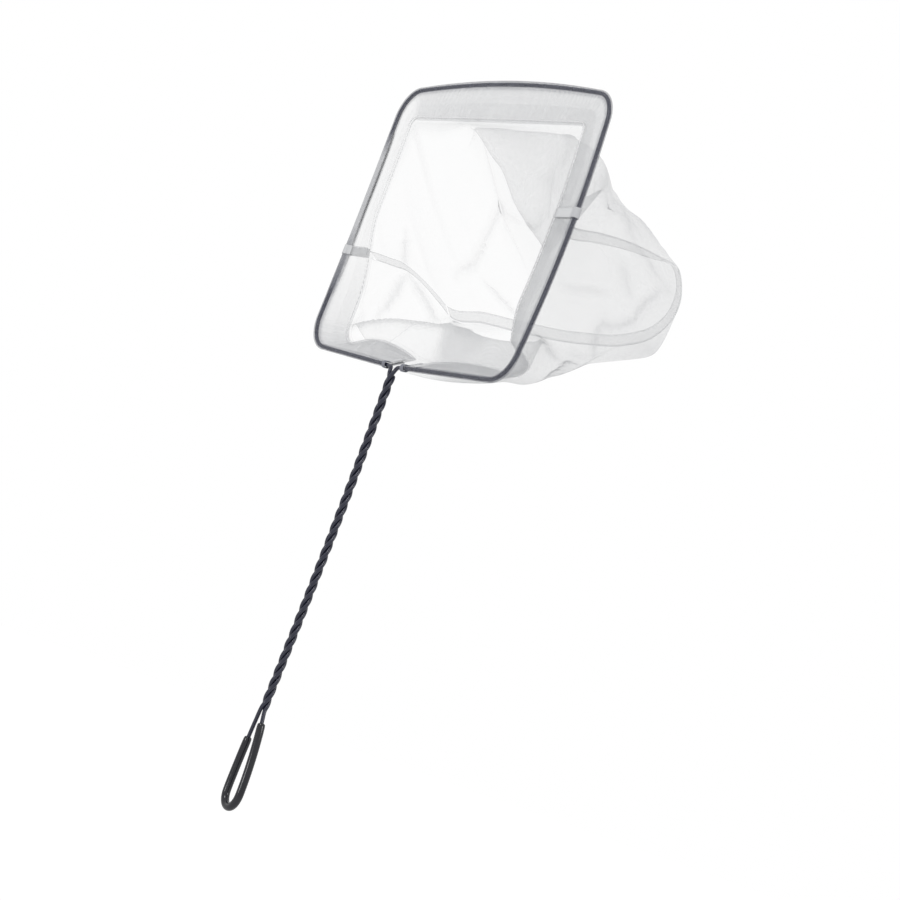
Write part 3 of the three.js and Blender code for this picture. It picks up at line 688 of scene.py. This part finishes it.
# Share of the seam, then the way in which the strip stands there: across, back and up
LEANS = (
    (0, (-0.2, -1, 0.5)), (LEFT_SHARE, (-0.1, -0.8, 0.8)), (LEFT_SHARE + 0.08, (0.1, -0.3, 1)),
    (RIGHT_SHARE - 0.2, (0, -0.3, 1)), (RIGHT_SHARE - 0.05, (-0.7, -0.2, 0.7)),
    (RIGHT_SHARE + 0.05, (-0.9, 0, -0.4)), (1, (-0.2, 0, -1)),
)
lean_at, leans = zip(*LEANS)
standing = np.stack([np.interp(share, lean_at, lean) for lean in zip(*leans)], axis=1)
standing += WANDER * np.array(
    [[noise.noise((spot * 14, 3.3, way)) for way in (0.4, 2.7, 5.1)] for spot in share]
)
standing /= np.linalg.norm(standing, axis=1)[:, None]
apart = np.cross(np.gradient(seam_line, axis=0), standing)
apart /= np.linalg.norm(apart, axis=1)[:, None]


def allowance(name, start, end, node):
    """Two edges of mesh lying together: out from the seam and back to it."""
    keep = (share >= start) & (share <= end)
    base, way, off = seam_line[keep], standing[keep], apart[keep]
    reaches = np.linspace(0, ALLOWANCE, 6)
    section = [(reach, NEAR_LAYER) for reach in reaches] + [(reach, FAR_LAYER) for reach in reaches[::-1]]
    points = np.stack([base + way * reach + off * gap for reach, gap in section])
    gather = np.zeros((len(section), 1))
    for row, (reach, _) in enumerate(section):
        if reach > 0.8 * ALLOWANCE:
            gather[row] = FREE_EDGE_GATHER
        elif reach < 0.1 * ALLOWANCE:
            gather[row] = SEAM_EDGE_GATHER
    strip = cloth_grid(name, points, gather)
    declare_cloth(strip, points)
    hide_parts(node)
    return strip


seams = [
    allowance("left_allowance", 0.01, LEFT_SHARE, "left_seam"),
    allowance("bottom_allowance", LEFT_SHARE, RIGHT_SHARE, "bottom_seam"),
    allowance("right_allowance", RIGHT_SHARE, 0.99, "right_seam"),
]
print("allowance strips:", len(seams))

# %% [markdown]
# ## Tabs and tacks
# Where the side seams meet the hem, and where the hem ends beside the handle, a short piece of tape is
# folded over it and stitched down. The tape has the hem's section, a little larger all round.

# %% Fold the tabs and tacks over the hem
TAPE_BEAD, TAPE_BEAD_OPENING, TAPE_LIP_START, TAPE_HALF_GAP = 2.35, 0.52, 2.6, 1.15
TAPE_THICKNESS, TAPE_WAVE = 0.4 * MM, 0.6
TAB_HALF, TAB_REACH, TACK_REACH = 3.25 / SIDE_RUN, 20, 13


def tape_section(reach):
    front = [(across, -TAPE_HALF_GAP) for across in np.linspace(reach, TAPE_LIP_START, 8)]
    return folded_section(front, TAPE_BEAD, TAPE_BEAD_OPENING, 14)


small = []
# Node, first and last place along the hoop, reach down the hem, how much painted shade of the wire it takes
for node, start, end, reach, painted_shade_share in (
    ("left_tab", LEFT_PLACE - TAB_HALF, LEFT_PLACE + TAB_HALF, TAB_REACH, 0.2),
    ("right_tab", RIGHT_PLACE - TAB_HALF, RIGHT_PLACE + TAB_HALF, TAB_REACH, 0.3),
    ("root_tack_left", ROOT_GAP, 2 * ROOT_GAP, TACK_REACH, 1),
    ("root_tack_right", 9 - 2 * ROOT_GAP, 9 - ROOT_GAP, TACK_REACH, 1),
):
    places = list(np.linspace(start, end, 9))
    piece, _ = wrapped_strip(node + "_tape", places, tape_section(reach), TAPE_WAVE, painted_shade_share)
    thicken(piece, TAPE_THICKNESS)
    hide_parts(node)
    small.append(piece)
print("tabs and tacks:", len(small))

# %% [markdown]
# ## Stitches
# One stitch is a short bent thread. It is modelled once and copied along the hem, then the copies of
# each length are joined into one piece.

# %% Make one stitch and sew with it
def one_stitch(length=2.6, thread=0.22):
    deselect()
    lying = (0, math.pi / 2, 0)
    bpy.ops.mesh.primitive_cylinder_add(vertices=6, radius=thread, depth=length, rotation=lying)
    stitch = bpy.context.object
    bpy.ops.object.transform_apply(location=False, rotation=True, scale=False)
    bpy.ops.object.mode_set(mode="EDIT")
    bpy.ops.mesh.bisect(plane_co=(-length / 4, 0, 0), plane_no=(1, 0, 0))
    bpy.ops.mesh.select_all(action="SELECT")
    bpy.ops.mesh.bisect(plane_co=(length / 4, 0, 0), plane_no=(1, 0, 0))
    bpy.ops.object.mode_set(mode="OBJECT")
    for vertex in stitch.data.vertices:
        end = abs(vertex.co.x) > length * 0.45
        vertex.co.z -= thread * (1.6 if end else 0)
        vertex.co.y *= 0.5 if end else 1
    return stitch


def sew(name, spots, node):
    """Copies of the stitch at each spot: a middle, a run and the way out of the cloth."""
    stitch = one_stitch()
    shape = np.array([v.co[:] for v in stitch.data.vertices])
    faces = [list(p.vertices) for p in stitch.data.polygons]
    vertices, polygons = [], []
    for middle, run, out in spots:
        side = np.cross(out, run)
        start = len(vertices)
        vertices += list((middle + shape[:, :1] * run + shape[:, 1:2] * side + shape[:, 2:] * out) * MM)
        polygons += [[start + k for k in face] for face in faces]
    bpy.data.objects.remove(stitch)
    mesh = bpy.data.meshes.new(name)
    mesh.from_pydata(vertices, [], polygons)
    piece = bpy.data.objects.new(name, mesh)
    bpy.context.collection.objects.link(piece)
    work_on(piece)
    bpy.ops.object.mode_set(mode="EDIT")
    bpy.ops.mesh.select_all(action="SELECT")
    bpy.ops.mesh.normals_make_consistent(inside=False)
    bpy.ops.object.mode_set(mode="OBJECT")
    bpy.ops.object.shade_smooth()
    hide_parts(node)
    print(name, "has", len(spots), "stitches")
    return piece


STITCH_LINE, STITCH_PITCH, STITCH_HEIGHT = HEM_DEPTH - 1.8, 3.6, 0.95
threads = []
for node, (start, end) in HEMS.items():
    spots = []
    for place in places_between(start + 0.01, end - 0.01, STITCH_PITCH)[1:-1]:
        for behind in (-STITCH_HEIGHT, STITCH_HEIGHT):
            before, middle, after = (
                hoop_point(place + step, STITCH_LINE, behind) for step in (-0.002, 0, 0.002)
            )
            run, out = after - before, hoop_point(place, STITCH_LINE, behind * 2) - middle
            spots.append((middle, run / np.linalg.norm(run), out / np.linalg.norm(out)))
    name, stitching = node.replace("hem", "hem_thread"), node.replace("hem", "hem_stitching")
    threads.append(sew(name, spots, stitching))

# %% [markdown]
# ## Finishes
# The mesh is drawn by its weave: two sets of threads from the UV map, opaque where they run and
# nearly clear between them. The same group serves every cloth with its own thread spacing. It also
# reads the two numbers that each point of cloth carries: gather draws the threads closer, so less
# shows through, and shade is painted shade that darkens the cloth pressed against the black wire.

# %% The weave group
def new_group(name, inputs, outputs):
    group = bpy.data.node_groups.new(name, "ShaderNodeTree")
    for label, kind, default in inputs:
        socket = group.interface.new_socket(label, in_out="INPUT", socket_type=kind)
        socket.default_value = default
    for label, kind in outputs:
        group.interface.new_socket(label, in_out="OUTPUT", socket_type=kind)
    start, end = group.nodes.new("NodeGroupInput"), group.nodes.new("NodeGroupOutput")
    start.location, end.location = (-900, 0), (900, 0)
    return group, start, end


def math_node(tree, operation, *values):
    node = tree.nodes.new("ShaderNodeMath")
    node.operation = operation
    for socket, value in zip(node.inputs, values):
        if isinstance(value, bpy.types.NodeSocket):
            tree.links.new(value, socket)
        else:
            socket.default_value = value
    return node.outputs[0]


def weave_group():
    group, start, end = new_group(
        "sheer_weave",
        [
            ("Pitch", "NodeSocketFloat", 0.0007), ("Thread", "NodeSocketFloat", 0.3),
            ("Clear", "NodeSocketFloat", 0.1), ("Cover", "NodeSocketFloat", 0.5),
        ],
        [(label, "NodeSocketFloat") for label in ("Alpha", "Height", "Cloud", "Light")],
    )
    coordinates = group.nodes.new("ShaderNodeTexCoord")
    split = group.nodes.new("ShaderNodeSeparateXYZ")
    group.links.new(coordinates.outputs["UV"], split.inputs[0])
    ridges = []
    for axis in (0, 1):
        turns = math_node(group, "DIVIDE", split.outputs[axis], start.outputs["Pitch"])
        wave = math_node(group, "PINGPONG", turns, 0.5)
        ridges.append(math_node(group, "MULTIPLY", wave, 2.0))
    height = math_node(group, "MAXIMUM", *ridges)
    edge = math_node(group, "SUBTRACT", 1.0, start.outputs["Thread"])
    on = math_node(group, "DIVIDE", math_node(group, "SUBTRACT", height, edge), 0.12)
    mask = math_node(group, "MINIMUM", math_node(group, "MAXIMUM", on, 0.0), 1.0)
    cloud = group.nodes.new("ShaderNodeTexNoise")
    cloud.inputs["Scale"].default_value, cloud.inputs["Detail"].default_value = 45, 3
    group.links.new(coordinates.outputs["UV"], cloud.inputs["Vector"])
    span = math_node(group, "SUBTRACT", start.outputs["Cover"], start.outputs["Clear"])
    alpha = math_node(group, "ADD", math_node(group, "MULTIPLY", mask, span), start.outputs["Clear"])
    uneven = math_node(group, "ADD", math_node(group, "MULTIPLY", cloud.outputs[0], 0.4), 0.8)
    gather = group.nodes.new("ShaderNodeAttribute")
    gather.attribute_name = "gather"
    closer = math_node(group, "MULTIPLY", uneven, math_node(group, "ADD", gather.outputs["Fac"], 1.0))
    covered = math_node(group, "MINIMUM", math_node(group, "MULTIPLY", alpha, closer), 1.0)
    # The shade attribute is painted shade: it darkens the cloth's colour toward the wire's black
    shade = group.nodes.new("ShaderNodeAttribute")
    shade.attribute_name = "shade"
    light = math_node(group, "SUBTRACT", 1.0, shade.outputs["Fac"])
    group.links.new(light, end.inputs["Light"])
    group.links.new(covered, end.inputs["Alpha"])
    group.links.new(height, end.inputs["Height"])
    group.links.new(cloud.outputs[0], end.inputs["Cloud"])
    return group


weave = weave_group()
print("the weave has", len(weave.nodes), "nodes")

# %% [markdown]
# ## The cloths
# All four cloths are the same white thread. The mesh is the most open, the folded hem and the
# allowance are a little denser, and the tape is nearly solid. The hem and the allowance are also
# painted a little darker than the mesh, as painted shade. The wire looks blue black in the photo, so
# its painted shade in the casing is blue black too.

# %% Make the cloth materials
# The wire's blue black, painted into the cloth's colour as the wire's shade
PAINTED_WIRE_SHADE = (0.06, 0.066, 0.112, 1)


def new_material(name):
    material = bpy.data.materials.new(name)
    material.use_nodes = True
    tree = material.node_tree
    shader = next(node for node in tree.nodes if node.type == "BSDF_PRINCIPLED")
    return material, tree, shader


def cloth_material(name, colour, dark, pitch, thread, clear, cover, rough=0.85):
    material, tree, shader = new_material(name)
    group = tree.nodes.new("ShaderNodeGroup")
    group.node_tree = weave
    for label, value in (("Pitch", pitch), ("Thread", thread), ("Clear", clear), ("Cover", cover)):
        group.inputs[label].default_value = value
    mix = tree.nodes.new("ShaderNodeMix")
    mix.data_type = "RGBA"
    mix.inputs["A"].default_value, mix.inputs["B"].default_value = (*dark, 1), (*colour, 1)
    tree.links.new(group.outputs["Cloud"], mix.inputs["Factor"])
    # Painted shade: the colour is mixed toward the wire's blue black by the shade attribute
    shaded = tree.nodes.new("ShaderNodeMix")
    shaded.data_type = "RGBA"
    shaded.inputs["A"].default_value = PAINTED_WIRE_SHADE
    tree.links.new(mix.outputs["Result"], shaded.inputs["B"])
    tree.links.new(group.outputs["Light"], shaded.inputs["Factor"])
    tree.links.new(shaded.outputs["Result"], shader.inputs["Base Color"])
    tree.links.new(group.outputs["Alpha"], shader.inputs["Alpha"])
    bump = tree.nodes.new("ShaderNodeBump")
    bump.inputs["Strength"].default_value, bump.inputs["Distance"].default_value = 0.3, 0.00008
    tree.links.new(group.outputs["Height"], bump.inputs["Height"])
    tree.links.new(bump.outputs["Normal"], shader.inputs["Normal"])
    shader.inputs["Roughness"].default_value = rough
    shader.inputs["Specular IOR Level"].default_value = 0.2
    return material


mesh_cloth = cloth_material(
    "sheer_mesh", (0.69, 0.697, 0.706), (0.61, 0.617, 0.63), pitch=0.0006, thread=0.3, clear=0.03, cover=0.24
)
# The hem and the allowance are painted darker than the mesh: painted shade on the same white thread
hem_cloth = cloth_material(
    "folded_hem", (0.65, 0.656, 0.668), (0.57, 0.576, 0.592), pitch=0.0006, thread=0.4, clear=0.06, cover=0.3
)
seam_cloth = cloth_material(
    "sewn_allowance", (0.63, 0.636, 0.648), (0.55, 0.556, 0.57), pitch=0.0006, thread=0.35, clear=0.04,
    cover=0.24,
)
tape_cloth = cloth_material(
    "sewn_tape", (0.72, 0.727, 0.738), (0.64, 0.647, 0.66), pitch=0.0005, thread=0.6, clear=0.5, cover=0.85
)
print("cloths:", mesh_cloth.name, hem_cloth.name, seam_cloth.name, tape_cloth.name)

# %% [markdown]
# ## Coating, sleeve and thread
# The wire has a black coating with a faint grain. The sleeve is the glossiest piece. The thread is
# white, with fine bands across it where it is twisted.

# %% Make the coating, sleeve and thread
def coated_material(name, colour, rough, coat, grain):
    material, tree, shader = new_material(name)
    coordinates = tree.nodes.new("ShaderNodeTexCoord")
    speckle = tree.nodes.new("ShaderNodeTexNoise")
    speckle.inputs["Scale"].default_value, speckle.inputs["Detail"].default_value = grain, 4
    tree.links.new(coordinates.outputs["Object"], speckle.inputs["Vector"])
    mix = tree.nodes.new("ShaderNodeMix")
    mix.data_type = "RGBA"
    mix.inputs["A"].default_value = (*colour, 1)
    mix.inputs["B"].default_value = (*[c * 1.6 + 0.004 for c in colour], 1)
    tree.links.new(speckle.outputs[0], mix.inputs["Factor"])
    tree.links.new(mix.outputs["Result"], shader.inputs["Base Color"])
    spread = tree.nodes.new("ShaderNodeMapRange")
    spread.inputs["To Min"].default_value, spread.inputs["To Max"].default_value = rough * 0.8, rough * 1.3
    tree.links.new(speckle.outputs[0], spread.inputs["Value"])
    tree.links.new(spread.outputs[0], shader.inputs["Roughness"])
    bump = tree.nodes.new("ShaderNodeBump")
    bump.inputs["Strength"].default_value, bump.inputs["Distance"].default_value = 0.15, 0.00006
    tree.links.new(speckle.outputs[0], bump.inputs["Height"])
    tree.links.new(bump.outputs["Normal"], shader.inputs["Normal"])
    shader.inputs["Specular IOR Level"].default_value = 0.45
    shader.inputs["Coat Weight"].default_value = coat
    shader.inputs["Coat Roughness"].default_value = 0.12
    return material


coating = coated_material("black_coating", (0.014, 0.0154, 0.03), rough=0.24, coat=0.2, grain=900)
glossy = coated_material("glossy_sleeve", (0.003, 0.0034, 0.007), rough=0.16, coat=0.35, grain=500)


def thread_material():
    material, tree, shader = new_material("white_thread")
    coordinates = tree.nodes.new("ShaderNodeTexCoord")
    twist = tree.nodes.new("ShaderNodeTexWave")
    twist.inputs["Scale"].default_value, twist.inputs["Distortion"].default_value = 1500, 1
    tree.links.new(coordinates.outputs["Object"], twist.inputs["Vector"])
    mix = tree.nodes.new("ShaderNodeMix")
    mix.data_type = "RGBA"
    mix.inputs["A"].default_value = (0.86, 0.86, 0.87, 1)
    mix.inputs["B"].default_value = (0.95, 0.95, 0.95, 1)
    tree.links.new(twist.outputs[0], mix.inputs["Factor"])
    tree.links.new(mix.outputs["Result"], shader.inputs["Base Color"])
    shader.inputs["Roughness"].default_value = 0.6
    return material


thread = thread_material()
print("finishes:", coating.name, glossy.name, thread.name)

# %% [markdown]
# ## Dressing
# Every piece gets its finish. The net has no joint, so all pieces
# ride on the one body.

# %% Dress each piece and let it ride on the net
FINISHES = (
    ([wire], coating, "wire_coating"), ([sleeve], glossy, "sleeve"), (hems, hem_cloth, "hem_fabric"),
    (panels, mesh_cloth, "mesh_fabric"), (seams, seam_cloth, "seam_fabric"),
    (small, tape_cloth, "seam_fabric"),
    (threads, thread, "thread"),
)
for pieces, material, slot in FINISHES:
    for piece in pieces:
        piece.data.materials.append(material)
        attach(piece, "root")
print("dressed", sum(len(pieces) for pieces, _, _ in FINISHES), "pieces")

# %% [markdown]
# ## Floor, light and background
# The net hangs in soft studio light. The floor and the sky look white to the camera, while the cloth
# and the wire are lit at a plain level. Three small lamps draw the highlights on the strands.

# %% Light the scene
FLOOR_HEIGHT, FLOOR_GLOW = -0.42, 0.4
SKY_LIGHT, SKY_SHOWN = 0.72, 1.0
LAMP_AIM = Vector((0, 0.03, 0.3))


def white_floor():
    deselect()
    bpy.ops.mesh.primitive_plane_add(size=16, location=(0, 0, FLOOR_HEIGHT))
    floor = bpy.context.object
    floor.name = "studio_floor"
    material, tree, shader = new_material("pale_floor")
    shader.inputs["Base Color"].default_value = (0.86, 0.86, 0.86, 1)
    shader.inputs["Roughness"].default_value = 0.9
    light_path = tree.nodes.new("ShaderNodeLightPath")
    seen = light_path.outputs["Is Camera Ray"]
    shader.inputs["Emission Color"].default_value = (1, 1, 1, 1)
    tree.links.new(math_node(tree, "MULTIPLY", seen, FLOOR_GLOW), shader.inputs["Emission Strength"])
    floor.data.materials.append(material)


def white_world():
    world = bpy.data.worlds.new("studio")
    bpy.context.scene.world = world
    world.use_nodes = True
    tree = world.node_tree
    background = next(node for node in tree.nodes if node.type == "BACKGROUND")
    light_path = tree.nodes.new("ShaderNodeLightPath")
    seen = light_path.outputs["Is Camera Ray"]
    extra = math_node(tree, "MULTIPLY", seen, SKY_SHOWN - SKY_LIGHT)
    strength = math_node(tree, "ADD", extra, SKY_LIGHT)
    tree.links.new(strength, background.inputs["Strength"])
    background.inputs["Color"].default_value = (1, 1, 1, 1)


def soft_lamp(name, place, size, watts):
    deselect()
    bpy.ops.object.light_add(type="AREA", location=place)
    lamp = bpy.context.object
    lamp.name = name
    lamp.data.shape, lamp.data.size, lamp.data.energy = "SQUARE", size, watts
    lamp.rotation_euler = (LAMP_AIM - Vector(place)).to_track_quat("-Z", "Y").to_euler()


white_floor()
white_world()
soft_lamp("key_lamp", (0.6, -1.4, 1.5), 0.45, 7)
soft_lamp("front_lamp", (0.2, -1.7, 0.0), 0.3, 3)
soft_lamp("fill_lamp", (1.5, 0.6, 0.9), 0.4, 4)
bpy.context.scene.view_settings.view_transform = "Standard"
# A ray may pass this many layers of cloth before it counts as stopped
bpy.context.scene.cycles.transparent_max_bounces = 32
